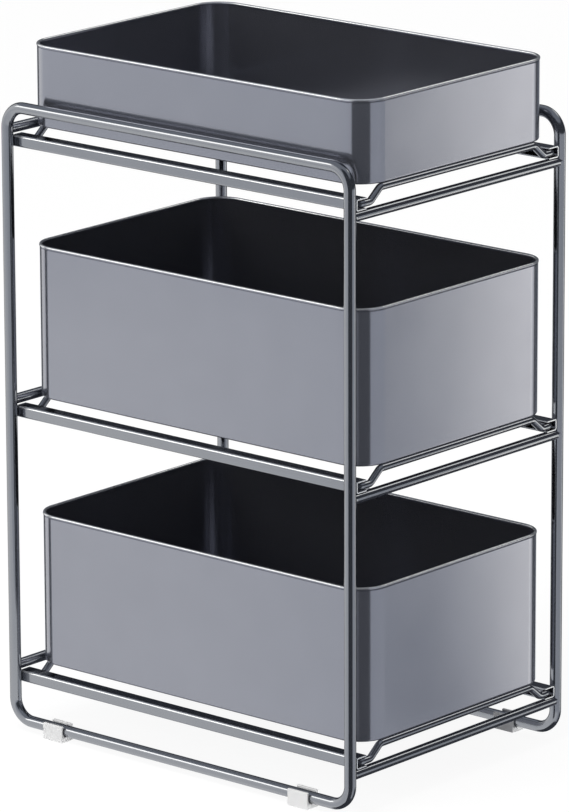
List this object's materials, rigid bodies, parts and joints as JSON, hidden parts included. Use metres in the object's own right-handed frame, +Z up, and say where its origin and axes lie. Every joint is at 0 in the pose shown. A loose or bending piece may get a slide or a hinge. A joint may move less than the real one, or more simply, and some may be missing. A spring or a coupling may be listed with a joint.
{
  "type": "pull out basket rack",
  "caption": "Free-standing rack of bent steel bar whose sheet steel baskets pull forward on wire carriers that run in C rails.",
  "frame": {"origin": "on the floor, midway between the two side loops and between the front and rear posts", "axes": "+X to the right seen from the front, -Y to the front that the baskets pull towards, +Z up"},
  "size_m": [0.2276, 0.308, 0.4784],
  "materials": {
    "frame_bar": "satin",
    "rail_sheet": "satin",
    "carrier_wire": "satin",
    "basket_sheet": "satin",
    "foot_plastic": "matt"
  },
  "bodies": {
    "rack": {"side_loop_left": "frame_bar", "side_loop_right": "frame_bar", "rail_bottom_left": "rail_sheet", "rail_bottom_right": "rail_sheet", "rail_middle_left": "rail_sheet", "rail_middle_right": "rail_sheet", "rail_top_left": "rail_sheet", "rail_top_right": "rail_sheet", "front_bar_bottom": "frame_bar", "front_bar_middle": "frame_bar", "front_bar_top": "frame_bar", "rear_bar_bottom": "frame_bar", "rear_bar_middle": "frame_bar", "rear_bar_top": "frame_bar", "foot_front_left": "foot_plastic", "foot_front_right": "foot_plastic", "foot_rear_left": "foot_plastic", "foot_rear_right": "foot_plastic"},
    "bottom_drawer": {"basket_bottom": "basket_sheet", "runner_bottom_left": "carrier_wire", "runner_bottom_right": "carrier_wire", "carrier_front_bottom": "carrier_wire", "carrier_rear_bottom": "carrier_wire"},
    "middle_drawer": {"basket_middle": "basket_sheet", "runner_middle_left": "carrier_wire", "runner_middle_right": "carrier_wire", "carrier_front_middle": "carrier_wire", "carrier_rear_middle": "carrier_wire"},
    "top_drawer": {"basket_top": "basket_sheet", "runner_top_left": "carrier_wire", "runner_top_right": "carrier_wire", "carrier_front_top": "carrier_wire", "carrier_rear_top": "carrier_wire"}
  },
  "joints": [
    {"name": "bottom_drawer_slide", "type": "slide", "parent": "rack", "child": "bottom_drawer", "axis": [0, -1, 0], "range_m": [0, 0.2]},
    {"name": "middle_drawer_slide", "type": "slide", "parent": "rack", "child": "middle_drawer", "axis": [0, -1, 0], "range_m": [0, 0.2]},
    {"name": "top_drawer_slide", "type": "slide", "parent": "rack", "child": "top_drawer", "axis": [0, -1, 0], "range_m": [0, 0.2]}
  ]
}
